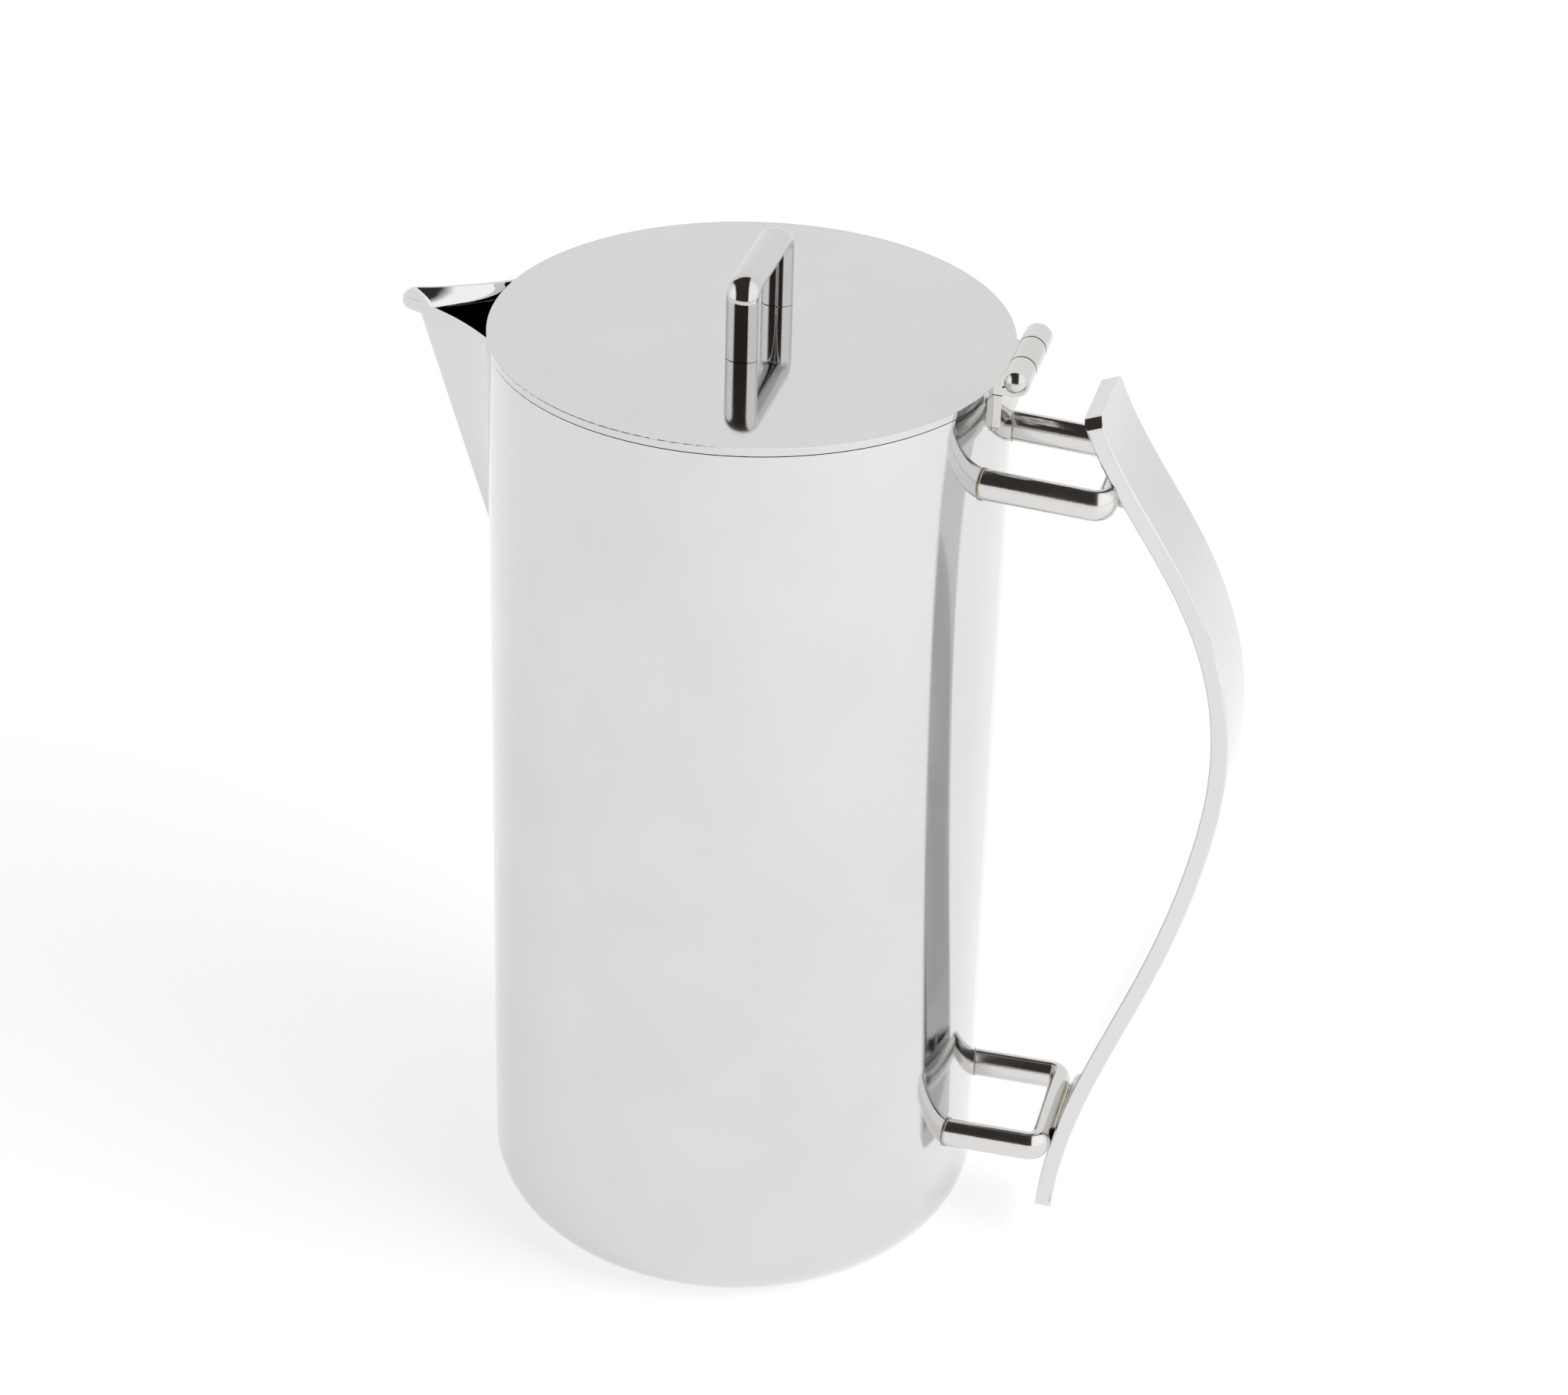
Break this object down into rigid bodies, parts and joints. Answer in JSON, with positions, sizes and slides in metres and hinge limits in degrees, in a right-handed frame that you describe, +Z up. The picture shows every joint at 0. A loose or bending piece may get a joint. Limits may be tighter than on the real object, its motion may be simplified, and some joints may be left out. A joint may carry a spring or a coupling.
{
  "type": "coffee pot",
  "caption": "Cylindrical polished steel coffee pot with open V spout, flat lid on a rolled barrel hinge, bridge pull and a bowed strap handle on two bar brackets.",
  "frame": {"origin": "middle of the base, on the plane that the pot stands on", "axes": "+Z up along the body's axis, +X to the handle, -X to the spout, hinge pin along Y"},
  "size_m": [0.1757, 0.105, 0.2217],
  "materials": {
    "polished_body": "mirror-polished stainless steel",
    "polished_strap": "mirror-polished stainless steel",
    "polished_bar": "mirror-polished stainless steel bar",
    "polished_hinge": "mirror-polished stainless steel",
    "polished_lid": "mirror-polished stainless steel",
    "polished_pin": "polished stainless steel rivet",
    "fasteners": "plain stainless steel",
    "braze": "silver braze, buffed"
  },
  "bodies": {
    "pot": {"body_shell": "polished_body", "spout": "polished_body", "handle_strap": "polished_strap", "upper_bracket": "polished_bar", "lower_bracket": "polished_bar", "upper_bracket_braze": "braze", "lower_bracket_braze": "braze", "strap_braze": "braze", "hinge_fixed_leaf": "polished_hinge", "hinge_leaf_braze": "braze"},
    "lid": {"lid_plate": "polished_lid", "lid_pull": "polished_bar", "lid_pull_screws": "fasteners", "hinge_pin": "polished_pin"}
  },
  "joints": [
    {"name": "lid_hinge", "type": "hinge", "parent": "pot", "child": "lid", "pos_m": [0.0555, 0, 0.20595], "axis": [0, 1, 0], "range_deg": [0, 200]}
  ]
}
